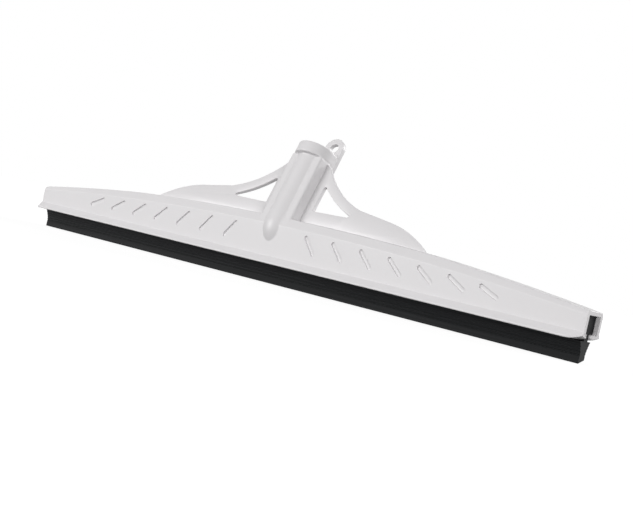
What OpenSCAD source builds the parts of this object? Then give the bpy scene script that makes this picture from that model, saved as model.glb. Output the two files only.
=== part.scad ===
// Floor squeegee head: an arched plastic frame with a leaning handle socket, two
// windowed webs, a hanging tab, and a rubber blade that slides in from the right.
// Millimetres. The blade runs along X, the front looks towards -Y, and the origin
// is the centre of the slanted face that wipes the floor.

/* [Frame] */
// Length of the frame
frame_len = 550; // [450:10:650]
// Depth of the frame from its front face to its back face
frame_dep = 23; // [21:0.5:28]
// Thickness of the front and back walls
wall = 3; // [2:0.1:3.6]
// Thickness of the top
roof = 2.9; // [2:0.1:4]
// Thickness of the closed left end that stops the blade
end_stop = 3; // [2:0.5:8]
// Rise of the flat top from the ends to the middle
arch_rise = 18.8; // [16:0.2:24]
// Height of the rounded crest's middle above the top at the ends
crest_h = 17.3; // [15:0.1:20]
// Rise of the rounded crest from its ends to its middle
crest_rise = 13.5; // [10:0.5:16]
// Radius of the crest's shoulders
crest_r = 6.5; // [4:0.5:8]

/* [Lower edge] */
// Height of the frame's lower edge above the wiping face
frame_z = 13.8; // [12:0.2:18]
// Height of the lips that hold the blade
lip_h = 4.6; // [3.6:0.1:6]
// Opening between the two lips
lip_gap = 6; // [4:0.2:8]
// How far the flange stands out from the wall
flange_out = 3.8; // [2:0.2:6]
// Radius of the flange's edge
flange_r = 1; // [0.6:0.1:1.5]
// Radius of the rounded lower corner at the right end
corner_r = 25; // [15:1:40]
// Length of the rounded lower corner at the right end
corner_run = 12.3; // [6:0.1:14]

/* [Inside ribs] */
// Number of pockets between the cross ribs under the top
pockets = 13; // [7:2:17]
// Thickness of a cross rib
rib_t = 1.8; // [1.2:0.1:3]
// Length of the solid top at each end
solid_end = 13; // [8:1:30]

/* [Raised bars] */
// Number of bars on each side of the socket
bars = 7; // [3:1:8]
// Distance of the first bar's foot from the middle
bar_first = 47; // [42:1:60]
// Distance between the feet of two bars
bar_pitch = 27; // [20:1:28]
// Length of a bar
bar_len = 17.7; // [15:0.1:20]
// Width of a bar
bar_w = 3.4; // [2:0.1:5]
// Height of a bar above the wall
bar_h = 0.7; // [0.3:0.1:1.5]
// Height of the bars' feet above the lips
bar_foot = 8.9; // [7:0.1:12]
// Depth of the bars' heads below the crest
bar_head = 10.1; // [8:0.1:13]

/* [Handle socket] */
// Lean of the socket backwards, in degrees
tilt = 22; // [10:1:35]
// Diameter of the handle
handle_d = 22; // [20:0.5:25]
// Wall of the socket tube
tube_wall = 2; // [1.6:0.1:4]
// Depth of the handle bore
bore_len = 68.7; // [50:0.1:90]
// Depth of the bore's floor below the crest
bore_sink = 5.5; // [2:0.5:8]
// Depth below the bore's floor where the tube's nose starts to narrow
nose_s = 1; // [0:0.2:4]
// Radius of the nose's long curve
nose_r = 22; // [16:0.5:28]
// Thickness of the collar around the tube's wall
collar_t = 3.7; // [2:0.1:6]
// Height of the collar
collar_h = 9.7; // [6:0.1:15]
// Chamfer at the bore's mouth
mouth_c = 0.8; // [0.3:0.1:1.2]
// Distance from the socket's axis to its flat front
flat_q = 10; // [8:0.5:12]
// Half width of the flat front
flat_w = 15; // [13:0.5:18]
// Extra half width where the webs join
side_w = 2; // [0.5:0.5:4]
// Height of the saddle's foot above the lips
saddle_h = 8.6; // [6:0.1:10]

/* [Webs] */
// Thickness of a web
web_t = 3.5; // [2:0.1:5]
// Reach of a web from the middle, where it dies into the crest
web_reach = 138; // [120:1:160]
// Slope length of the web's shoulder above the bore's floor
web_mid = 19.5; // [16:0.5:24]
// Distance of the web's shoulder from the middle
web_mid_x = 98; // [85:1:110]
// Slope of the web's edge at its shoulder, in degrees
web_slope = 9.7; // [5:0.1:14]
// Radius of the sweep from the socket down to the web
sweep_r = 88; // [70:1:110]
// Distance of the sweep's centre from the middle
sweep_x = 90.8; // [80:0.2:100]
// Height of the sweep's centre above the bore's floor
sweep_s = 108.9; // [100:0.1:120]
// Width of the arm between the sweep and the window
arm_w = 8; // [6:0.5:14]
// Distance of the window from the middle
win_x = 24.3; // [21:0.1:30]
// Length of the window
win_len = 37; // [25:0.5:45]
// Height of the window's sill above the bore's floor
win_s = 15.8; // [12:0.2:20]
// Rise of the sill from the socket to its far end
win_rise = 0.6; // [0:0.1:2]
// Corner radius of the window
win_r = 1.2; // [0.5:0.1:3]

/* [Hanging tab] */
// Thickness of the tab
tab_t = 4; // [3:0.1:6]
// How far the tab's front lies inside the collar's back
tab_in = 1.7; // [1:0.1:3]
// Radius of the tab's round top
tab_r = 9; // [7:0.5:12]
// Height of the hole's centre above the collar
tab_h = 12.8; // [11:0.1:18]
// Diameter of the hanging hole
hole_d = 8.2; // [5:0.1:11]

/* [Blade] */
// Height of the blade's head
head_h = 12; // [8:0.5:16]
// Running gap between the blade and the frame
run_gap = 0.3; // [0.2:0.05:0.5]
// Gap between the blade's end and the end stop
end_gap = 0.5; // [0.3:0.1:2]
// Distance from the blade's right end to the frame's right end
end_inset = 3; // [0:0.5:10]
// Thickness of the blade's tip
tip_t = 7.8; // [4:0.2:10]
// Thickness of the wedge at its root
root_t = 15.2; // [11:0.2:18]
// Height of the parallel part of the tip
tip_h = 3.7; // [2:0.1:6]
// Slant of the wiping face, in degrees
slant = 18.4; // [0:0.2:30]
// Number of fine grooves along each flank
grooves = 5; // [0:1:8]
// Depth of a groove
groove_d = 0.35; // [0.2:0.05:0.6]

/* [Hidden] */
$fn = 64;
half_len = frame_len / 2;
half_dep = frame_dep / 2;
cav_w = half_dep - wall;
lip_z = frame_z + lip_h;
cav_z = lip_z + head_h + 2 * run_gap;
end_z = cav_z + roof;
crest_z = end_z + crest_h;
arch_z = end_z + arch_rise;
crest_R = (half_len * half_len + crest_rise * crest_rise) / (2 * crest_rise);
arch_R = (half_len * half_len + arch_rise * arch_rise) / (2 * arch_rise);
bore_r = handle_d / 2;
tube_r = bore_r + tube_wall;
collar_r = tube_r + collar_t;
collar_s = bore_len - collar_h;
bore_z = crest_z - bore_sink;
blade_len = frame_len - end_stop - end_gap - end_inset;
blade_x = -half_len + end_stop + end_gap;
neck_w = lip_gap / 2 - run_gap;
head_w = cav_w - run_gap;
tab_q = collar_r - tab_in;
saddle_w = flat_w + side_w;
grey = "#dcdadb";
black = "#1d2022";

// Height of the crest's centre line at a distance from the middle
function crest_at(x) = crest_z - crest_R + sqrt(crest_R * crest_R - x * x);

// Half thickness of the blade's wedge at a height, a curve from tip to root
function flank(z) = tip_t / 2 + (root_t - tip_t) / 2
    * pow(max(0, (z - tip_h) / (frame_z - run_gap - tip_h)), 1.6);

// Puts a shape into the socket's frame: Z along its axis, Y to its back
module leaning() translate([0, 0, bore_z]) rotate([-tilt, 0, 0]) children();

// Puts a profile in the Y-Z plane and pulls it along X
module along_x(len, x0) translate([x0, 0, 0]) rotate([90, 0, 90]) linear_extrude(len) children();

// A bar bent along the arch, with round shoulders, turned about a level axis
module bow(R, top, w, r) {
    deep = top - lip_z + half_dep;
    sweep = asin((half_len + deep) / R);
    translate([0, 0, top - R]) rotate([90, 0, 0])
        rotate_extrude(angle = 2 * sweep, start = 90 - sweep, $fn = 720) {
            translate([R - deep, -w]) square([deep - r, 2 * w]);
            translate([R - deep, r - w]) square([deep, 2 * (w - r)]);
            for (s = [-1, 1]) translate([R - r, s * (w - r)]) circle(r, $fn = 32);
        }
}

// The crowned body at a depth below its skin: a round crest trimmed by a flat arch
module crown(len, z0, w, drop) intersection() {
    translate([-len / 2, -w - wall, z0]) cube([len, 2 * (w + wall), crest_z - z0 + wall]);
    bow(crest_R, crest_z - drop, w, crest_r - min(drop, crest_r - 1));
    bow(arch_R, arch_z - drop, w + 4, 1);
}

// Cross-section of one wall's lower edge: a flange flared outwards over a flat underside
module flange() {
    edge = half_dep + flange_out - flange_r;
    polygon([[cav_w, frame_z], [edge, frame_z], [edge + 0.7 * flange_r, frame_z + 1.7 * flange_r],
        [half_dep, lip_z], [cav_w, lip_z]]);
    translate([edge, frame_z + flange_r]) circle(flange_r);
}

// Cross-section of one round-edged lip, which holds the blade by its head
module lip() {
    inner = (lip_gap + lip_h) / 2;
    translate([inner, frame_z]) square([cav_w - inner, lip_h]);
    translate([inner, frame_z + lip_h / 2]) circle(lip_h / 2);
}

// One raised bar with round ends, leaning from its foot towards the middle
module bar(x) {
    rise = crest_at(x - bar_len * 0.76) - bar_head - lip_z - bar_foot;
    lean = acos(min(1, rise / bar_len));
    run = bar_len - bar_w;
    deep = bar_h + wall / 2;
    translate([x, half_dep - wall / 2, lip_z + bar_foot]) rotate([0, -lean, 0])
        translate([0, 0, bar_w / 2]) {
            translate([-bar_w / 2, 0, 0]) cube([bar_w, deep, run]);
            for (z = [0, run]) translate([0, 0, z]) rotate([-90, 0, 0]) cylinder(r = bar_w / 2, h = deep);
        }
}

// The round body of the socket: a tube whose lower end is a nose in the front wall
module round_body() leaning() {
    translate([0, 0, -nose_s]) cylinder(r = tube_r, h = bore_len + nose_s);
    translate([0, 0, -nose_s]) rotate_extrude($fn = 180) intersection() {
        translate([tube_r - nose_r, 0]) circle(nose_r, $fn = 180);
        translate([0, -nose_r]) square([tube_r, nose_r]);
    }
}

// The flat-faced block around the tube, widest where the webs join, rising from the crest
module flat_block() intersection() {
    leaning() translate([0, 0, -2 * tube_r]) linear_extrude(2 * tube_r + collar_s)
        polygon([[-flat_w, -flat_q], [flat_w, -flat_q], [flat_w + side_w, 0], [flat_w, flat_q],
            [-flat_w, flat_q], [-flat_w - side_w, 0]]);
    translate([-2 * flat_w, -bore_len, crest_z - crest_r]) cube([4 * flat_w, 2 * bore_len, 2 * bore_len]);
}

// Everything that the blade's head must stay clear of
module head_space() translate([-half_len + end_stop, -cav_w, lip_z])
    cube([frame_len, 2 * cav_w, cav_z - lip_z]);

// What rounds the lower corner at the open right end
module end_corner() translate([half_len - corner_run, -frame_dep, frame_z - 1]) difference() {
    cube([corner_run + 1, 2 * frame_dep, corner_r * 0.4]);
    translate([0, -1, corner_r + 1]) rotate([-90, 0, 0])
        cylinder(r = corner_r, h = 2 * frame_dep + 2, $fn = 180);
}

// The stretch of the frame's body that is moulded with the socket and straddles the blade
module saddle() translate([-saddle_w, -frame_dep, lip_z + saddle_h])
    cube([2 * saddle_w, 2 * frame_dep, crest_z]);

// One wall of the channel with its flange, lip and raised bars, on the side that side tells
module channel_wall(side) difference() {
    scale([1, side, 1]) union() {
        intersection() {
            crown(frame_len, lip_z, half_dep, 0);
            translate([-half_len, cav_w, lip_z]) cube([frame_len, frame_dep, crest_z]);
        }
        along_x(frame_len, -half_len) flange();
        along_x(frame_len - end_stop, -half_len + end_stop) lip();
        for (m = [0, 1], i = [0:bars - 1]) mirror([m, 0, 0]) bar(bar_first + i * bar_pitch);
    }
    saddle();
    end_corner();
}

module front_wall() color(grey) channel_wall(-1);

module rear_wall() color(grey) channel_wall(1);

// One half of the arched top between the walls, ribbed underneath, from a distance along X
module crest_half(x0) difference() {
    intersection() {
        crown(frame_len, frame_z, half_dep, 0);
        union() {
            translate([x0, -cav_w, cav_z]) cube([half_len, 2 * cav_w, crest_z]);
            if (x0 < 0) translate([-half_len, -cav_w, frame_z]) cube([end_stop, 2 * cav_w, crest_z]);
        }
    }
    intersection() {
        crown(frame_len - 2 * solid_end, cav_z - 1, cav_w + 1, roof);
        union() {
            pitch = (frame_len - 2 * solid_end) / pockets;
            for (i = [0:pockets - 1])
                translate([(i - pockets / 2) * pitch + rib_t / 2, -frame_dep, cav_z - 2])
                    cube([pitch - rib_t, 2 * frame_dep, crest_z]);
        }
    }
    saddle();
}

// The left half carries the stop that the blade runs up against
module crest_left() color(grey) crest_half(-half_len);

module crest_right() color(grey) crest_half(0);

module handle_socket() color(grey) difference() {
    union() {
        round_body();
        flat_block();
        intersection() {
            crown(frame_len, lip_z, half_dep, 0);
            saddle();
        }
        leaning() translate([0, 0, collar_s]) cylinder(r = collar_r, h = collar_h);
    }
    leaning() {
        cylinder(r = bore_r, h = bore_len + 1);
        translate([0, 0, bore_len - mouth_c])
            cylinder(r1 = bore_r, r2 = bore_r + mouth_c + 1, h = mouth_c + 1);
    }
    head_space();
}

// Side view of the web in the plane of the socket's axis: its edge sweeps down from the
// collar, turns over at a shoulder and dies into the crest on a round end
module web_face() difference() {
    tip_s = (crest_at(web_reach) - bore_z) / cos(tilt);
    dx = web_reach - web_mid_x;
    ds = web_mid - tip_s;
    end_r = (dx * dx + ds * ds) / (2 * (ds * cos(web_slope) - dx * sin(web_slope)));
    join_x = sweep_x - sweep_r * sin(web_slope + 6);
    join_s = sweep_s - sqrt(sweep_r * sweep_r - (sweep_x - join_x) * (sweep_x - join_x));
    foot = -tube_r;
    union() {
        polygon([[flat_w, foot], [web_mid_x, foot], [web_mid_x, web_mid], [join_x, join_s],
            [flat_w, collar_s]]);
        intersection() {
            translate([web_mid_x - end_r * sin(web_slope), web_mid - end_r * cos(web_slope)])
                circle(end_r, $fn = 360);
            translate([web_mid_x - 1, foot]) square([web_reach, web_mid - foot]);
        }
    }
    intersection() {
        translate([sweep_x, sweep_s]) circle(sweep_r, $fn = 360);
        translate([0, foot]) square([join_x, sweep_s]);
    }
    offset(r = win_r, $fn = 24) offset(delta = -win_r) difference() {
        polygon([[win_x, win_s], [win_x + win_len, win_s + win_rise], [win_x + win_len, collar_s],
            [win_x, collar_s]]);
        translate([sweep_x, sweep_s]) circle(sweep_r + arm_w, $fn = 360);
    }
}

// One web, trimmed to the socket's flat block and to the frame's crest
module web() color(grey) difference() {
    leaning() translate([0, web_t / 2, 0]) rotate([90, 0, 0]) linear_extrude(web_t) web_face();
    flat_block();
    crown(frame_len, lip_z - 1, half_dep, 0);
}

module web_right() web();

module web_left() mirror([1, 0, 0]) web();

module hanging_tab() color(grey) difference() {
    leaning() translate([0, tab_q + tab_t, 0]) rotate([90, 0, 0]) difference() {
        union() {
            translate([-tab_r, collar_s]) linear_extrude(tab_t) square([2 * tab_r, collar_h + tab_h]);
            translate([0, bore_len + tab_h]) cylinder(r = tab_r, h = tab_t);
        }
        translate([0, bore_len + tab_h, -1]) cylinder(r = hole_d / 2, h = tab_t + 2);
    }
    leaning() translate([0, 0, collar_s - 1]) cylinder(r = collar_r, h = collar_h + 1);
}

// Cross-section of the blade: a head, a neck between the lips, and a grooved wedge
module blade_profile() difference() {
    root_z = frame_z - run_gap;
    tip = tip_t / 2;
    steps = 8;
    zs = [for (i = [0:steps]) tip_h + (root_z - tip_h) * i / steps];
    union() {
        polygon(concat([[tip, tip * tan(slant)]], [for (z = zs) [flank(z), z]],
            [for (i = [steps:-1:0]) [-flank(zs[i]), zs[i]]], [[-tip, -tip * tan(slant)]]));
        translate([-neck_w, root_z - 1]) square([2 * neck_w, lip_z + run_gap + 2 - root_z]);
        translate([-head_w, lip_z + run_gap]) square([2 * head_w, head_h]);
    }
    if (grooves > 0) for (i = [0:grooves - 1], s = [-1, 1]) {
        z = tip_h + (root_z - tip_h) * (i + 0.3) / grooves;
        translate([s * (flank(z) + groove_d * 0.3), z]) circle(groove_d * 1.3, $fn = 16);
    }
}

module wiper_blade() color(black) along_x(blade_len, blade_x) blade_profile();

front_wall();
rear_wall();
crest_left();
crest_right();
web_left();
web_right();
handle_socket();
hanging_tab();
wiper_blade();
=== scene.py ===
"""Dresses the floor squeegee: one white moulding with sunk bars, its webs, socket and tab,
and the black rubber blade. Lengths are in metres and the wiping face is at the origin."""

import math

import bmesh
import bpy
import numpy as np
from bpy.props import FloatProperty, FloatVectorProperty, IntProperty, PointerProperty
from mathutils import Matrix, Vector


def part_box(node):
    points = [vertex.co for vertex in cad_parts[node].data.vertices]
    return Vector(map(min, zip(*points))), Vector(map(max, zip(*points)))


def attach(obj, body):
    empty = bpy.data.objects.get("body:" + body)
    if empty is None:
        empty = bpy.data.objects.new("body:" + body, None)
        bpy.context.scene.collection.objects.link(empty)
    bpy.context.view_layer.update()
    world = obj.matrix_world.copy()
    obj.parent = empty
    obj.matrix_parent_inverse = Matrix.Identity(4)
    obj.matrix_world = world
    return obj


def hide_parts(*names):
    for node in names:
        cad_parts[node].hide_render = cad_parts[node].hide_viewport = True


bl_info = {
    "name": "Floor squeegee",
    "version": (1, 0, 0),
    "blender": (4, 5, 0),
    "location": "3D View > Sidebar > Squeegee",
    "description": "Builds the looks of a moulded floor squeegee head with a rubber blade",
    "category": "Object",
}

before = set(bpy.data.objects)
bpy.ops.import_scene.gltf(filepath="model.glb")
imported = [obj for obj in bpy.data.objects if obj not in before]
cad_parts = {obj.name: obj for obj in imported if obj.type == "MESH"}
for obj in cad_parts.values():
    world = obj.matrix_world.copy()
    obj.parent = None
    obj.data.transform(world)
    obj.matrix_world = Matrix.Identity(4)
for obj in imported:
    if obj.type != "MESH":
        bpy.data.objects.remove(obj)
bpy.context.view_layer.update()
MM = 0.001
# Places that are closer than this count as one
HAIR = 1e-6
# Width of the photograph and focal length of its camera, both in its pixels
PHOTO_WIDTH = 633
PHOTO_FOCAL = 1212.04
WALL_LOW, WALL_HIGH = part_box("front_wall")
BLADE_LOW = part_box("wiper_blade")[0]


def length(name, default, text, low=0.0, high=1.0):
    """A size in metres that a user may change."""
    return FloatProperty(
        name=name, default=default, description=text, min=low, max=high,
        unit="LENGTH", subtype="DISTANCE", precision=4,
    )


def colour(name, default, text):
    """A colour, kept as it would be written in sRGB."""
    return FloatVectorProperty(
        name=name, default=default, description=text, min=0, max=1, size=3, subtype="COLOR_GAMMA"
    )


class SqueegeeFrame(bpy.types.PropertyGroup):
    """Sizes of the arched channel."""

    half_len: length("Half length", WALL_HIGH.x, "Half the length of the frame")
    half_dep: length("Half depth", 0.0115, "From the middle to the outside of a wall")
    cavity: length("Half cavity", 0.0085, "From the middle to the inside of a wall")
    foot_z: length("Foot", WALL_LOW.z, "Height of the flange's underside")
    lip_z: length("Lip", 0.0184, "Height of the top of the lips")
    ceiling_z: length("Ceiling", 0.031, "Height of the space for the blade's head")
    crest_z: length("Crest", 0.0512, "Height of the round crest in the middle")
    crest_rise: length("Crest rise", 0.0135, "Rise of the round crest from its ends")
    shoulder_h: length("Shoulder height", 0.0065, "Height of the shoulder's slanted band")
    shoulder_w: length("Shoulder set-back", 0.0034, "How far the shoulder's band leans in")
    flare_h: length("Flare", 0.0058, "Height of the flange's slanted band")
    arch_z: length("Flat arch", 0.0527, "Height of the flat arch in the middle")
    arch_rise: length("Arch rise", 0.0188, "Rise of the flat arch from its ends")
    roof: length("Roof", 0.0029, "Thickness of the top")
    flange: length("Flange", 0.0038, "How far the flange stands out")
    flange_h: length("Flange edge", 0.0014, "Height of the flange's upright edge")
    flange_r: length("Flange rounding", 0.0006, "Rounding of the flange's edge")
    soft_r: length("Soft edge", 0.0004, "Rounding of the section's other edges")
    lip_gap: length("Lip gap", 0.006, "Opening between the lips")
    lip_r: length("Lip rounding", 0.0021, "Rounding of the lips' tips")
    end_stop: length("End stop", 0.003, "Thickness of the closed left end")
    rim: length("Rim", 0.0004, "Rounding of the rims at both ends")
    corner_r: length("Corner", 0.025, "Radius of the lower corner at the right end")
    corner_run: length("Corner run", 0.0123, "Length of the lower corner at the right end")
    lead: length("Lead-in", 0.0022, "How far the lips' tips are cut back at the right end")
    pockets: IntProperty(name="Pockets", default=13, min=3, max=31, description="Pockets under the top")
    pocket_min: length("Least pocket", 0.0004, "Least depth of a pocket")
    rib: length("Rib", 0.0018, "Thickness of a rib between two pockets")
    solid_end: length("Solid end", 0.013, "Length of the solid top at each end")
    stations: IntProperty(name="Stations", default=44, min=8, max=99, description="Cuts in each half arch")


class SqueegeeBars(bpy.types.PropertyGroup):
    """Sizes of the sunk bars."""

    count: IntProperty(name="Bars", default=7, min=1, max=8, description="Bars on each side")
    first: length("First foot", 0.047, "Distance of the first foot from the middle")
    pitch: length("Pitch", 0.027, "Distance between two feet")
    long: length("Length", 0.0177, "Length of a bar")
    wide: length("Width", 0.0034, "Width of a bar")
    deep: length("Depth", 0.0011, "Depth of a bar below the wall's face")
    floor_r: length("Floor rounding", 0.0003, "Rounding around the floor of a bar")
    mouth: length("Mouth", 0.00015, "Chamfer at the mouth of a bar")
    reach: FloatProperty(
        name="Reach", default=0.76, min=0, max=1, subtype="FACTOR",
        description="How far inward a bar's head lies from its foot, as a share of its length",
    )
    foot_z: length("Foot height", 0.0273, "Height of the lower ends")
    head_drop: length("Head drop", 0.0101, "Depth of the upper ends below the crest")


class SqueegeeSocket(bpy.types.PropertyGroup):
    """Sizes of the leaning handle socket."""

    tilt: FloatProperty(
        name="Tilt", default=math.radians(22), subtype="ANGLE", description="Lean to the back",
    )
    floor_z: length("Bore floor", 0.0457, "Height of the bore's floor on the axis")
    bore_r: length("Bore", 0.011, "Radius of the handle bore")
    tube_r: length("Tube", 0.013, "Radius of the tube")
    bore_len: length("Depth", 0.0687, "Depth of the bore")
    nose: length("Nose", 0.001, "Depth below the bore's floor where the nose starts to narrow")
    nose_r: length("Nose curve", 0.022, "Radius of the nose's long curve")
    collar_r: length("Collar", 0.0167, "Radius of the collar")
    collar_h: length("Collar height", 0.0097, "Height of the collar")
    rim: length("Rim", 0.0009, "Rounding of the collar's rims")
    flat_q: length("Flat front", 0.01, "Distance of the flat front from the axis")
    flat_w: length("Flat width", 0.015, "Half width of the flat front")
    side_w: length("Side", 0.002, "Extra half width at the webs")
    edge: length("Edge", 0.0012, "Rounding of the flat front's edges")
    saddle: length("Saddle", 0.034, "Half length of the frame's skin that the socket blends into")
    skin: length("Skin", 0.00012, "How far the saddle lies inside the frame's skin")
    mouth: length("Mouth", 0.0008, "Chamfer at the mouth")
    voxel: length("Voxel", 0.0006, "Grain of the blended mesh", 0.0003, 0.002)


class SqueegeeColours(bpy.types.PropertyGroup):
    """Colours of the finishes."""

    plastic: colour("Plastic", (0.870, 0.862, 0.867), "White moulded polypropylene")
    rubber: colour("Rubber", (0.062, 0.066, 0.072), "Black extruded rubber")


def srgb(value):
    """A colour written in sRGB as the linear colour that a shader wants."""
    def one(c):
        return c / 12.92 if c <= 0.04045 else ((c + 0.055) / 1.055) ** 2.4
    return tuple(one(c) for c in value[:3]) + (1.0,)


def node(tree, kind, settings=None, **sockets):
    """Adds a node, with its settings and with what its sockets hold or are linked to."""
    made = tree.nodes.new(kind)
    for name, value in (settings or {}).items():
        setattr(made, name, value)
    for name, value in sockets.items():
        key = int(name[1:]) if name[0] == "i" and name[1:].isdigit() else name.replace("_", " ")
        if isinstance(value, bpy.types.NodeSocket):
            tree.links.new(value, made.inputs[key])
        else:
            made.inputs[key].default_value = value
    return made


def material(name):
    """A fresh node material with its tree and output."""
    mat = bpy.data.materials.new(name)
    mat.use_nodes = True
    mat.node_tree.nodes.clear()
    return mat, mat.node_tree, mat.node_tree.nodes.new("ShaderNodeOutputMaterial")


def moulded_polypropylene():
    """White injection-moulded polypropylene: satin, with a fine spark-eroded grain."""
    found = bpy.data.materials.get("moulded_polypropylene")
    if found:
        return found
    mat, tree, out = material("moulded_polypropylene")
    tone = bpy.context.scene.squeegee_colours.plastic
    place = node(tree, "ShaderNodeTexCoord").outputs["Object"]
    # Melt flow leaves soft clouds a few centimetres across, a hair lighter and darker
    cloud = node(tree, "ShaderNodeTexNoise", Vector=place, Scale=22.0, Detail=2.0)
    body = node(
        tree, "ShaderNodeMix", {"data_type": "RGBA"}, i0=cloud.outputs["Fac"],
        i6=srgb([c * 0.985 for c in tone]), i7=srgb([min(1, c * 1.01) for c in tone]),
    )
    # The mould's grain is about 0.4 mm, drawn at 0.9 mm so that it shows as a soft sheen
    grain = node(tree, "ShaderNodeTexNoise", Vector=place, Scale=1100.0, Detail=3.0)
    bump = node(tree, "ShaderNodeBump", Strength=0.06, Distance=0.0002, Height=grain.outputs["Fac"])
    sheen = node(
        tree, "ShaderNodeMapRange", Value=cloud.outputs["Fac"],
        From_Min=0.3, From_Max=0.7, To_Min=0.38, To_Max=0.46,
    )
    shader = node(
        tree, "ShaderNodeBsdfPrincipled", Base_Color=body.outputs["Result"],
        Roughness=sheen.outputs["Result"], Normal=bump.outputs["Normal"], IOR=1.49,
    )
    tree.links.new(shader.outputs[0], out.inputs[0])
    return mat


def extruded_rubber():
    """Black extruded rubber: low sheen, with fine draw lines along its length."""
    found = bpy.data.materials.get("extruded_rubber")
    if found:
        return found
    mat, tree, out = material("extruded_rubber")
    tone = bpy.context.scene.squeegee_colours.rubber
    place = node(tree, "ShaderNodeTexCoord").outputs["Object"]
    # Draw lines from the die run the length of the strip, about 0.5 mm apart
    drawn = node(tree, "ShaderNodeMapping", Vector=place, Scale=(6.0, 900.0, 900.0))
    lines = node(tree, "ShaderNodeTexNoise", Vector=drawn.outputs[0], Scale=1.0, Detail=3.0)
    # Talc and bloom leave grey specks and clouds
    dust = node(tree, "ShaderNodeTexNoise", Vector=place, Scale=260.0, Detail=6.0)
    body = node(
        tree, "ShaderNodeMix", {"data_type": "RGBA"}, i0=dust.outputs["Fac"],
        i6=srgb([c * 0.82 for c in tone]), i7=srgb([c * 1.2 for c in tone]),
    )
    dull = node(
        tree, "ShaderNodeMapRange", Value=lines.outputs["Fac"],
        From_Min=0.3, From_Max=0.7, To_Min=0.46, To_Max=0.62,
    )
    bump = node(tree, "ShaderNodeBump", Strength=0.25, Distance=0.0002, Height=lines.outputs["Fac"])
    shader = node(
        tree, "ShaderNodeBsdfPrincipled", Base_Color=body.outputs["Result"],
        Roughness=dull.outputs["Result"], Normal=bump.outputs["Normal"], IOR=1.52,
        Specular_IOR_Level=0.12,
    )
    tree.links.new(shader.outputs[0], out.inputs[0])
    return mat


def take_mesh(name, bm):
    """Turns a bmesh into a mesh whose faces point outwards, and frees it."""
    bmesh.ops.recalc_face_normals(bm, faces=bm.faces)
    mesh = bpy.data.meshes.new(name)
    bm.to_mesh(mesh)
    bm.free()
    return mesh


def add_part(bm, part):
    """Adds one bmesh to another and frees it."""
    mesh = bpy.data.meshes.new("part")
    part.to_mesh(mesh)
    part.free()
    bm.from_mesh(mesh)
    bpy.data.meshes.remove(mesh)


def mesh_object(name, bm):
    """A scratch object from a bmesh."""
    made = bpy.data.objects.new(name, take_mesh(name, bm))
    bpy.context.scene.collection.objects.link(made)
    return made


def finish_piece(name, mesh, mat, body, replaced, angle=35):
    """Smooths a mesh, makes it a piece that rides on its body, and hides the solids it replaces."""
    mesh.materials.clear()
    mesh.materials.append(mat)
    mesh.polygons.foreach_set("use_smooth", [True] * len(mesh.polygons))
    mesh.set_sharp_from_angle(angle=math.radians(angle))
    piece = bpy.data.objects.new(name, mesh)
    bpy.context.scene.collection.objects.link(piece)
    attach(piece, body)
    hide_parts(*replaced)
    return piece


def cad_copy(solid):
    """A solid in a bmesh, with its loose triangles merged into faces."""
    bm = bmesh.new()
    bm.from_mesh(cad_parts[solid].data)
    bmesh.ops.remove_doubles(bm, verts=bm.verts, dist=2 * HAIR)
    bmesh.ops.dissolve_limit(
        bm, angle_limit=math.radians(0.6), verts=bm.verts, edges=bm.edges, delimit={"NORMAL"}
    )
    return bm


def soften(bm, offset, angle, segments):
    """Bevels the edges that are sharper than an angle."""
    edges = [
        e for e in bm.edges
        if len(e.link_faces) == 2 and e.calc_face_angle(0) > math.radians(angle)
    ]
    bmesh.ops.bevel(
        bm, geom=edges, offset=offset, offset_type="OFFSET", segments=segments, profile=0.5,
        affect="EDGES", clamp_overlap=True, material=-1,
    )


def add_cylinder(bm, matrix, radius, low, high):
    """A closed cylinder along Z, between two heights of its own frame."""
    return bmesh.ops.create_cone(
        bm, cap_ends=True, segments=96, radius1=radius, radius2=radius, depth=high - low,
        matrix=matrix @ Matrix.Translation((0, 0, (low + high) / 2)),
    )["verts"]


def add_lathe(bm, matrix, outline, steps=128):
    """A body turned about Z from (radius, height) points that start and end on the axis."""
    verts = [bm.verts.new((r, 0, z)) for r, z in outline]
    edges = [bm.edges.new(pair) for pair in zip(verts, verts[1:])]
    bmesh.ops.spin(
        bm, geom=verts + edges, cent=(0, 0, 0), axis=(0, 0, 1), angle=math.tau, steps=steps,
        use_merge=True, use_duplicate=False,
    )
    bmesh.ops.remove_doubles(bm, verts=bm.verts, dist=HAIR)
    bmesh.ops.recalc_face_normals(bm, faces=bm.faces)
    bmesh.ops.transform(bm, matrix=matrix, verts=bm.verts)


def add_box(bm, low, high):
    """A box between two corners."""
    low, high = Vector(low), Vector(high)
    place = Matrix.Translation((low + high) / 2) @ Matrix.Diagonal((*(high - low), 1))
    bmesh.ops.create_cube(bm, size=1, matrix=place)


def settle(obj):
    """Applies an object's modifiers to its mesh."""
    bpy.context.view_layer.update()
    seen = obj.evaluated_get(bpy.context.evaluated_depsgraph_get())
    mesh = bpy.data.meshes.new_from_object(seen)
    obj.modifiers.clear()
    obj.data = mesh


def carve(obj, *tools):
    """Cuts closed scratch solids out of a piece and throws them away."""
    for tool in tools:
        cut = obj.modifiers.new(tool.name, "BOOLEAN")
        cut.operation, cut.solver, cut.object = "DIFFERENCE", "EXACT", tool
    settle(obj)
    for tool in tools:
        bpy.data.objects.remove(tool)


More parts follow.
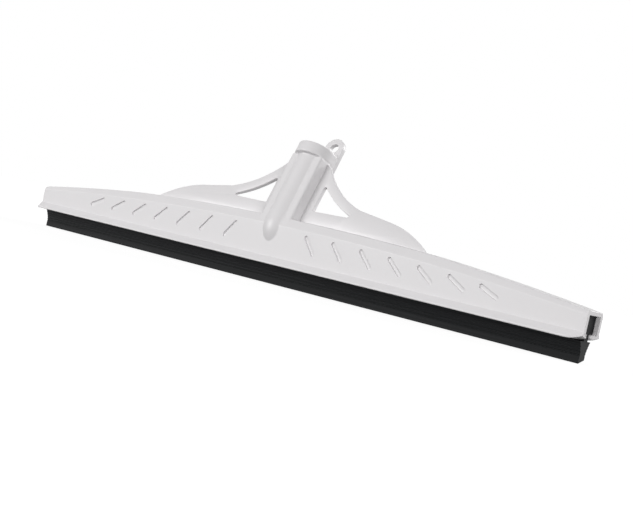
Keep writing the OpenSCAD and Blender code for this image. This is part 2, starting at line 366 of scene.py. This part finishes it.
def fill_hollows(mesh, rounds, weight):
    """Fills the creases of a dense mesh into fillets and leaves its outer edges alone."""
    count = len(mesh.vertices)
    co = np.zeros(count * 3)
    mesh.vertices.foreach_get("co", co)
    co = co.reshape(-1, 3)
    pairs = np.zeros(len(mesh.edges) * 2, int)
    mesh.edges.foreach_get("vertices", pairs)
    a, b = pairs.reshape(-1, 2).T
    degree = np.bincount(np.concatenate([a, b]), minlength=count)[:, None]
    share = weight(co)[:, None]
    for turn in range(rounds):
        # The normals are worked out again every fourth round
        if turn % 4 == 0:
            mesh.vertices.foreach_set("co", co.ravel())
            mesh.update()
            normal = np.zeros(count * 3)
            mesh.vertex_normals.foreach_get("vector", normal)
            normal = normal.reshape(-1, 3)
        total = np.zeros_like(co)
        for axis in range(3):
            total[:, axis] = np.bincount(a, co[b, axis], count) + np.bincount(b, co[a, axis], count)
        pull = ((total / degree - co) * normal).sum(1, keepdims=True)
        co += 0.6 * share * np.maximum(pull, 0) * normal
    mesh.vertices.foreach_set("co", co.ravel())
    mesh.update()


def sagitta_drop(x, half, rise):
    """How far an arc of that rise has dropped at x from the middle."""
    radius = (half * half + rise * rise) / (2 * rise)
    return radius - math.sqrt(radius * radius - x * x)


def bend_to_arch(bm, s):
    """Bends a straight bar, drawn at the middle's height, to the round crest and flat arch."""
    for v in bm.verts:
        x = max(-s.half_len, min(s.half_len, v.co.x))
        if v.co.z > s.ceiling_z + 10 * HAIR:
            v.co.z -= sagitta_drop(x, s.half_len, s.crest_rise)
            v.co.z = min(v.co.z, s.arch_z - sagitta_drop(x, s.half_len, s.arch_rise))


def sweep_corner(bm, s):
    """Sweeps the flange away at the lower right corner and cuts the lips' tips back."""
    for v in bm.verts:
        past = v.co.x - (s.half_len - s.corner_run)
        if past > 0 and v.co.z < s.lip_z + HAIR:
            deep = abs(v.co.y)
            rise = (s.corner_r - math.sqrt(s.corner_r ** 2 - past ** 2)) / (s.lip_z - s.foot_z)
            # The lips take 0.6 of the rise, and the share grows to all of it 5 mm outside the cavity
            rise *= min(1.0, 0.6 + 0.4 * max(0.0, deep - s.cavity) / (5 * MM))
            v.co.z = s.lip_z - (s.lip_z - v.co.z) * (1 - rise)
            if deep > s.half_dep:
                v.co.y = math.copysign(s.half_dep + (deep - s.half_dep) * (1 - rise), v.co.y)
            inward = (s.cavity - deep) / (s.cavity - s.lip_gap / 2)
            if inward > 0:
                v.co.x -= s.lead * inward ** 2 * (past / s.corner_run) ** 3


def profile_face(bm, corners, x):
    """One face at x from corners given as (y, z, rounding); the roundings are bevels."""
    verts = [bm.verts.new((x, y, z)) for y, z, _ in corners]
    bm.faces.new(verts)
    for radius in sorted({c[2] for c in corners if c[2] > 0}):
        picked = [v for v, c in zip(verts, corners) if c[2] == radius]
        bmesh.ops.bevel(
            bm, geom=picked, offset=radius, offset_type="OFFSET",
            segments=6, profile=0.5, affect="VERTICES", clamp_overlap=False, material=-1,
        )
    return max(bm.faces, key=lambda f: len(f.verts))


def shoulder_corners(s, deep):
    """The slanted band from a wall to the top, in steps, so that the flat arch can cut it anywhere."""
    steps = 8
    corners = []
    for i in range(steps + 1):
        part = i / steps
        soft = s.soft_r if i in (0, steps) else 0
        corners.append((deep - s.shoulder_w * part, s.crest_z - s.shoulder_h * (1 - part), soft))
    return corners


def channel_corners(s, hollow):
    """Corners of the frame's cross-section, with or without its cavity."""
    out, deep, foot = s.half_dep + s.flange, s.half_dep, s.foot_z
    side = [
        (out, foot, s.flange_r), (out, foot + s.flange_h, s.flange_r), (deep, foot + s.flare_h, s.soft_r),
    ]
    side += shoulder_corners(s, deep)
    ring = [(-y, z, r) for y, z, r in side] + [(y, z, r) for y, z, r in reversed(side)]
    if hollow:
        gap = s.lip_gap / 2
        inner = [
            (gap, foot, s.lip_r), (gap, s.lip_z, s.lip_r), (s.cavity, s.lip_z, s.soft_r),
            (s.cavity, s.ceiling_z, s.soft_r),
        ]
        ring += inner + [(-y, z, r) for y, z, r in reversed(inner)]
    return ring


def draw_out(bm, cap, distance):
    """Pulls a face along X into a bar and gives back its far end."""
    grown = bmesh.ops.extrude_face_region(bm, geom=[cap])["geom"]
    moved = [g for g in grown if isinstance(g, bmesh.types.BMVert)]
    bmesh.ops.translate(bm, verts=moved, vec=(distance, 0, 0))
    return next(g for g in grown if isinstance(g, bmesh.types.BMFace))


def round_rim(bm, cap, rim):
    """Rounds the rim of an end face."""
    bmesh.ops.bevel(
        bm, geom=list(cap.edges), offset=rim, offset_type="OFFSET", segments=4, profile=0.5,
        affect="EDGES", clamp_overlap=True, material=-1,
    )


class SQUEEGEE_OT_frame(bpy.types.Operator):
    """Builds the arched channel with its flanges, lips, pockets, sunk bars and closed left end"""

    bl_idname = "squeegee.frame"
    bl_label = "Frame"

    def execute(self, context):
        s = context.scene.squeegee_frame
        bm = bmesh.new()
        start = -s.half_len + s.end_stop
        cap = profile_face(bm, channel_corners(s, True), start)
        draw_out(bm, cap, s.half_len - start)
        pitch = 2 * (s.half_len - s.solid_end) / s.pockets
        # Cuts for the sides of the ribs, for the arch and for the swept corner
        ribs = [(i - s.pockets / 2) * pitch for i in range(s.pockets + 1)]
        cuts = {x + side * s.rib / 2 for x in ribs for side in (-1, 1)}
        cuts |= {s.half_len * i / s.stations for i in range(1 - s.stations, s.stations)}
        cuts |= {s.half_len - s.corner_run * i / 8 for i in range(1, 9)}
        for x in sorted({round(x, 6) for x in cuts}):
            if start < x < s.half_len - s.rim:
                bmesh.ops.bisect_plane(
                    bm, geom=bm.verts[:] + bm.edges[:] + bm.faces[:], dist=HAIR,
                    plane_co=(x, 0, 0), plane_no=(1, 0, 0),
                )
        self.sink_pockets(bm, s, pitch)
        bend_to_arch(bm, s)
        channel = mesh_object("channel", bm)
        carve(channel, mesh_object("bars", self.bar_spaces(s, context.scene.squeegee_bars)))
        bm = bmesh.new()
        bm.from_mesh(channel.data)
        bpy.data.objects.remove(channel)
        sweep_corner(bm, s)
        # The swept corner's tiny steps are merged, so that the rim can go round them
        ends = [v for v in bm.verts if v.co.x > s.half_len - s.lead - s.rim]
        bmesh.ops.remove_doubles(bm, verts=ends, dist=s.rim / 2)
        right = max((f for f in bm.faces if f.calc_center_median().x > 0), key=lambda f: len(f.verts))
        round_rim(bm, right, s.rim)
        self.close_left_end(bm, s, start)
        # Nothing stands out past the solids' ends
        for v in bm.verts:
            v.co.x = max(-s.half_len, min(s.half_len, v.co.x))
        piece = finish_piece(
            "frame_moulding", take_mesh("frame_moulding", bm), moulded_polypropylene(), "frame",
            ("front_wall", "rear_wall", "crest_left", "crest_right"),
        )
        # Normals weighted by area keep the wide faces flat right up to their small roundings
        piece.modifiers.new("even", "WEIGHTED_NORMAL").keep_sharp = True
        settle(piece)
        return {"FINISHED"}

    def close_left_end(self, bm, s, start):
        """Adds the solid left end that stops the blade."""
        stop = bmesh.new()
        left = draw_out(stop, profile_face(stop, channel_corners(s, False), start), -s.end_stop)
        bend_to_arch(stop, s)
        round_rim(stop, left, s.rim)
        add_part(bm, stop)

    def sink_pockets(self, bm, s, pitch):
        """Pushes the ceiling up between the cross ribs, under the arch."""
        # A face is a pocket's when its middle is this clear of the middles of both ribs
        clear = 0.8 * MM
        for i in range(s.pockets):
            low = (i - s.pockets / 2) * pitch + clear
            high = low + pitch - 2 * clear
            # The middle one stays solid under the socket's bore
            if low < 0 < high:
                continue
            faces = [
                f for f in bm.faces
                if abs(f.calc_center_median().z - s.ceiling_z) < 10 * HAIR and abs(f.normal.z) > 0.9
                and low < f.calc_center_median().x < high
            ]
            if not faces:
                continue
            bmesh.ops.inset_region(bm, faces=faces, thickness=s.soft_r, depth=0, use_even_offset=True)
            grown = bmesh.ops.extrude_face_region(bm, geom=faces)["geom"]
            bmesh.ops.delete(bm, geom=faces, context="FACES")
            for g in grown:
                if isinstance(g, bmesh.types.BMVert):
                    x = g.co.x
                    top = min(s.crest_z - sagitta_drop(x, s.half_len, s.crest_rise),
                              s.arch_z - sagitta_drop(x, s.half_len, s.arch_rise)) - s.roof
                    # bend_to_arch lowers everything above the ceiling again
                    top = max(top, s.ceiling_z + s.pocket_min)
                    g.co.z = top + sagitta_drop(x, s.half_len, s.crest_rise)

    def bar_spaces(self, s, b):
        """The spaces of the slanted bars that are sunk into both walls."""
        bm = bmesh.new()
        for i in range(b.count):
            x = b.first + i * b.pitch
            crest = s.crest_z - sagitta_drop(x - b.long * b.reach, s.half_len, s.crest_rise)
            lean = math.acos(min(1.0, (crest - b.head_drop - b.foot_z) / b.long))
            for way in (1, -1):
                self.add_bar(bm, s, b, x * way, -lean * way)
        both = bmesh.ops.duplicate(bm, geom=bm.verts[:] + bm.edges[:] + bm.faces[:])["geom"]
        bmesh.ops.scale(bm, verts=[g for g in both if isinstance(g, bmesh.types.BMVert)], vec=(1, -1, 1))
        return bm

    def add_bar(self, bm, s, b, x, lean):
        """The space of one bar: a turned dish with a chamfered mouth, drawn out to a pill."""
        r, low, soft, mouth = b.wide / 2, -b.deep, b.floor_r, b.mouth
        # The chamfer goes on past the wall's face, so that the cut has no skin left over it
        past = 3 * mouth
        outline = [
            (0, low), (r - soft, low), (r - soft / 3, low + soft / 3), (r, low + soft),
            (r, -mouth), (r + mouth, 0), (r + mouth + past, past), (0, past),
        ]
        dish = bmesh.new()
        add_lathe(dish, Matrix(), outline, steps=32)
        for v in dish.verts:
            if v.co.y > HAIR:
                v.co.y += b.long - b.wide
        # Stand the pill against the front wall, then lean it and put its foot in place
        stand = (
            Matrix.Translation((x, -s.half_dep, b.foot_z)) @ Matrix.Rotation(lean, 4, "Y")
            @ Matrix.Rotation(math.radians(90), 4, "X") @ Matrix.Translation((0, b.wide / 2, 0))
        )
        bmesh.ops.transform(dish, matrix=stand, verts=dish.verts)
        add_part(bm, dish)


def leaning(k):
    """The socket's own frame: Z along its axis, Y to its back, its zero at the bore's floor."""
    return Matrix.Translation((0, 0, k.floor_z)) @ Matrix.Rotation(-k.tilt, 4, "X")


def near_nose(co):
    """Where creases fill: fully in front at the crest, less down the wall, hardly elsewhere."""
    y, z = co[:, 1] / MM, co[:, 2] / MM
    front = np.clip((-4.5 - y) / 3, 0, 1) * np.clip((54 - z) / 5, 0, 1)
    crest = np.clip((z - 40) / 6, 0.2, 1)
    return np.clip(front * crest + 0.05, 0, 1)


class SQUEEGEE_OT_socket(bpy.types.Operator):
    """Builds the leaning socket, blended into the frame with soft fillets"""

    bl_idname = "squeegee.socket"
    bl_label = "Handle socket"

    def execute(self, context):
        s, k = context.scene.squeegee_frame, context.scene.squeegee_socket
        lean = leaning(k)
        bm = bmesh.new()
        add_cylinder(bm, lean, k.tube_r, -k.nose, k.bore_len)
        self.add_nose(bm, k, lean)
        self.add_block(bm, s, k, lean)
        self.add_saddle(bm, s, k)
        collar = add_cylinder(bm, lean, k.collar_r, k.bore_len - k.collar_h, k.bore_len)
        rims = [e for e in {e for v in collar for e in v.link_edges} if e.calc_face_angle(0) > 1]
        bmesh.ops.bevel(
            bm, geom=rims, offset=k.rim, offset_type="OFFSET", segments=4, profile=0.5,
            affect="EDGES", clamp_overlap=True, material=-1,
        )
        body = mesh_object("socket_body", bm)
        remesh = body.modifiers.new("blend", "REMESH")
        remesh.mode = "VOXEL"
        remesh.voxel_size = k.voxel
        settle(body)
        fill_hollows(body.data, rounds=40, weight=near_nose)
        carve(body, self.bore_space(k), self.blade_space(s, k))
        finish_piece(
            "socket_moulding", body.data.copy(), moulded_polypropylene(), "frame",
            ("handle_socket",), angle=40,
        )
        bpy.data.objects.remove(body)
        return {"FINISHED"}

    def add_nose(self, bm, k, lean):
        """The tube's lower end, narrowing on a long curve to a tip hidden in the frame."""
        nose = bmesh.new()
        steps = 24
        tip = math.sqrt(k.nose_r ** 2 - (k.nose_r - k.tube_r) ** 2)
        outline = [(0, -tip)]
        for i in range(1, steps + 1):
            z = -tip * (1 - i / steps)
            outline.append((math.sqrt(k.nose_r ** 2 - z * z) - k.nose_r + k.tube_r, z))
        add_lathe(nose, lean @ Matrix.Translation((0, 0, -k.nose)), outline + [(0, 0)], steps=96)
        add_part(bm, nose)

    def add_block(self, bm, s, k, lean):
        """The flat-faced block around the tube, from the crest up to the collar."""
        block = bmesh.new()
        q, w, side = k.flat_q, k.flat_w, k.side_w
        # It starts low inside the frame and is cut level where the shoulders begin
        below = 0.02
        ring = [(-w, -q), (w, -q), (w + side, 0), (w, q), (-w, q), (-w - side, 0)]
        face = block.faces.new([block.verts.new((x, y, -below)) for x, y in ring])
        grown = bmesh.ops.extrude_face_region(block, geom=[face])["geom"]
        top = [g for g in grown if isinstance(g, bmesh.types.BMVert)]
        bmesh.ops.translate(block, verts=top, vec=(0, 0, below + k.bore_len - k.collar_h))
        bmesh.ops.transform(block, matrix=lean, verts=block.verts)
        cut = bmesh.ops.bisect_plane(
            block, geom=block.verts[:] + block.edges[:] + block.faces[:], clear_inner=True,
            plane_co=(0, 0, s.crest_z - s.shoulder_h), plane_no=(0, 0, 1),
        )["geom_cut"]
        bmesh.ops.holes_fill(block, edges=[g for g in cut if isinstance(g, bmesh.types.BMEdge)], sides=0)
        bmesh.ops.recalc_face_normals(block, faces=block.faces)
        soften(block, k.edge, angle=40, segments=3)
        add_part(bm, block)

    def add_saddle(self, bm, s, k):
        """The frame's own section under the socket, set a hair inside the frame's skin."""
        saddle = bmesh.new()
        deep, bottom = s.half_dep - k.skin, 0.0215
        side = [(deep, bottom, 0)] + [(y, z - k.skin, r) for y, z, r in shoulder_corners(s, deep)]
        corners = [(-y, z, r) for y, z, r in side] + side[::-1]
        draw_out(saddle, profile_face(saddle, corners, -k.saddle), 2 * k.saddle)
        add_part(bm, saddle)

    def bore_space(self, k):
        """The space of the handle's bore, with its mouth chamfer going on past the collar."""
        past = 1 * MM
        top, wide = k.bore_len + past, k.bore_r + k.mouth + past
        outline = [(0, 0), (k.bore_r, 0), (k.bore_r, k.bore_len - k.mouth), (wide, top), (0, top)]
        bm = bmesh.new()
        add_lathe(bm, leaning(k), outline)
        return mesh_object("bore", bm)

    def blade_space(self, s, k):
        """The room for the blade's head, a little longer than the saddle that it is cut from."""
        reach = k.saddle + 16 * MM
        bm = bmesh.new()
        add_box(bm, (-reach, -s.cavity, 0), (reach, s.cavity, s.ceiling_z))
        return mesh_object("room", bm)


class SQUEEGEE_OT_webs(bpy.types.Operator):
    """Dresses both webs and the hanging tab, with rounded edges"""

    bl_idname = "squeegee.webs"
    bl_label = "Webs and tab"

    def execute(self, context):
        for side in ("web_left", "web_right"):
            self.dress(side + "_moulding", side, offset=0.5 * MM, segments=2)
        self.dress("tab_moulding", "hanging_tab", offset=0.7 * MM, segments=3)
        return {"FINISHED"}

    def dress(self, name, solid, offset, segments):
        """One piece from its solid, with its edges rounded."""
        bm = cad_copy(solid)
        soften(bm, offset, angle=50, segments=segments)
        finish_piece(name, take_mesh(name, bm), moulded_polypropylene(), "frame", (solid,))


class SQUEEGEE_OT_blade(bpy.types.Operator):
    """Dresses the rubber blade, with its grooves and trimmed ends"""

    bl_idname = "squeegee.blade"
    bl_label = "Rubber blade"

    def execute(self, context):
        bm = cad_copy("wiper_blade")
        soften(bm, 0.15 * MM, angle=60, segments=1)
        mesh = take_mesh("blade_rubber", bm)
        finish_piece("blade_rubber", mesh, extruded_rubber(), "blade", ("wiper_blade",))
        return {"FINISHED"}


def look_from(azimuth, elevation, roll):
    """Camera rotation for a direction around the object, in degrees."""
    a, e, t = (math.radians(v) for v in (azimuth, elevation, roll))
    back = Vector((math.sin(a) * math.cos(e), -math.cos(a) * math.cos(e), math.sin(e)))
    right = (-back).cross(Vector((0, 0, 1))).normalized()
    up = right.cross(-back)
    across = right * math.cos(t) + up * math.sin(t)
    above = up * math.cos(t) - right * math.sin(t)
    return Matrix((across, above, back)).transposed().to_4x4()


class SQUEEGEE_OT_stage(bpy.types.Operator):
    """Sets the pale floor, soft lights, white backdrop and camera"""

    bl_idname = "squeegee.stage"
    bl_label = "Stage"

    def execute(self, context):
        scene = context.scene
        self.make_camera(scene)
        self.make_floor()
        self.make_world(scene)
        self.add_softbox("key_softbox", azimuth=-35, elevation=12, power=74.0)
        self.add_softbox("side_softbox", azimuth=55, elevation=8, power=54.0)
        self.add_softbox("back_softbox", azimuth=155, elevation=22, power=72.0)
        scene.view_settings.view_transform = "Standard"
        return {"FINISHED"}

    def make_camera(self, scene):
        """The photograph's own camera, solved from points measured on both sides of the socket."""
        data = bpy.data.cameras.new("camera")
        data.sensor_width = 36
        data.lens = data.sensor_width * PHOTO_FOCAL / PHOTO_WIDTH
        data.clip_start = 0.01
        camera = bpy.data.objects.new("camera", data)
        scene.collection.objects.link(camera)
        place = Matrix.Translation((0.6107, -0.7296, 0.0397))
        camera.matrix_world = place @ look_from(azimuth=38, elevation=0.59, roll=12.6)
        scene.camera = camera

    def seen_directly(self, tree):
        """One for camera, glossy and transmitted rays, and nothing for the rays that light."""
        path = node(tree, "ShaderNodeLightPath").outputs
        mirror = node(
            tree, "ShaderNodeMath", {"operation": "MAXIMUM"},
            i0=path["Is Glossy Ray"], i1=path["Is Transmission Ray"],
        )
        return node(
            tree, "ShaderNodeMath", {"operation": "MAXIMUM"}, i0=path["Is Camera Ray"], i1=mirror.outputs[0]
        ).outputs[0]

    def make_floor(self):
        """A matt table that glows white to the camera and keeps the squeegee's shadow."""
        bm = bmesh.new()
        bmesh.ops.create_grid(bm, x_segments=1, y_segments=1, size=6)
        # The blade's low corner stands just clear of it
        bmesh.ops.translate(bm, verts=bm.verts, vec=(0, 0, BLADE_LOW.z - 0.2 * MM))
        floor = mesh_object("floor", bm)
        mat, tree, out = material("white_table")
        seen = self.seen_directly(tree)
        # Near the object the glow leaves room for the shadow; further off it is plain white
        place = node(tree, "ShaderNodeTexCoord").outputs["Object"]
        away = node(tree, "ShaderNodeVectorMath", {"operation": "LENGTH"}, i0=place)
        level = node(
            tree, "ShaderNodeMapRange", Value=away.outputs["Value"],
            From_Min=0.35, From_Max=0.8, To_Min=0.9, To_Max=1.0,
        )
        white = node(tree, "ShaderNodeMath", {"operation": "MULTIPLY"}, i0=seen, i1=level.outputs["Result"])
        matt = node(tree, "ShaderNodeBsdfDiffuse", Color=srgb((0.45, 0.45, 0.45)))
        glow = node(tree, "ShaderNodeEmission", Color=(1, 1, 1, 1), Strength=white.outputs[0])
        both = node(tree, "ShaderNodeAddShader", i0=matt.outputs[0], i1=glow.outputs[0])
        tree.links.new(both.outputs[0], out.inputs[0])
        floor.data.materials.append(mat)

    def make_world(self, scene):
        """A room that looks white and gives a soft light of its own."""
        world = bpy.data.worlds.new("white_room")
        scene.world = world
        world.use_nodes = True
        tree = world.node_tree
        tree.nodes.clear()
        level = node(
            tree, "ShaderNodeMapRange", Value=self.seen_directly(tree),
            From_Min=0.0, From_Max=1.0, To_Min=0.32, To_Max=1.0,
        )
        sky = node(tree, "ShaderNodeBackground", Color=(1, 1, 1, 1), Strength=level.outputs["Result"])
        out = node(tree, "ShaderNodeOutputWorld")
        tree.links.new(sky.outputs[0], out.inputs[0])

    def add_softbox(self, name, azimuth, elevation, power):
        """A softbox 3.6 m away from the object's middle, looking at it from a direction."""
        data = bpy.data.lights.new(name, "AREA")
        data.shape = "RECTANGLE"
        data.size, data.size_y = 1.8, 1.2
        data.energy = power
        light = bpy.data.objects.new(name, data)
        bpy.context.scene.collection.objects.link(light)
        middle = Matrix.Translation((0, 0, 0.04))
        away = Matrix.Translation((0, 0, 3.6))
        light.matrix_world = middle @ look_from(azimuth, elevation, roll=0) @ away


class SQUEEGEE_PT_panel(bpy.types.Panel):
    """Lists the sizes and the steps that build the squeegee"""

    bl_label = "Floor squeegee"
    bl_idname = "SQUEEGEE_PT_panel"
    bl_space_type = "VIEW_3D"
    bl_region_type = "UI"
    bl_category = "Squeegee"

    def draw(self, context):
        for step in STEPS:
            self.layout.operator(f"squeegee.{step}")
        for group in ("squeegee_frame", "squeegee_bars", "squeegee_socket", "squeegee_colours"):
            box = self.layout.box()
            held = getattr(context.scene, group)
            for name in held.__annotations__:
                box.prop(held, name)


STEPS = ("stage", "frame", "socket", "webs", "blade")
GROUPS = {
    "squeegee_frame": SqueegeeFrame,
    "squeegee_bars": SqueegeeBars,
    "squeegee_socket": SqueegeeSocket,
    "squeegee_colours": SqueegeeColours,
}
CLASSES = (
    *GROUPS.values(), SQUEEGEE_OT_frame, SQUEEGEE_OT_socket, SQUEEGEE_OT_webs, SQUEEGEE_OT_blade,
    SQUEEGEE_OT_stage, SQUEEGEE_PT_panel,
)


def register():
    for cls in CLASSES:
        bpy.utils.register_class(cls)
    for name, cls in GROUPS.items():
        setattr(bpy.types.Scene, name, PointerProperty(type=cls))


def unregister():
    for name in GROUPS:
        delattr(bpy.types.Scene, name)
    for cls in reversed(CLASSES):
        bpy.utils.unregister_class(cls)


def main():
    register()
    for step in STEPS:
        getattr(bpy.ops.squeegee, step)()


if __name__ == "__main__":
    main()
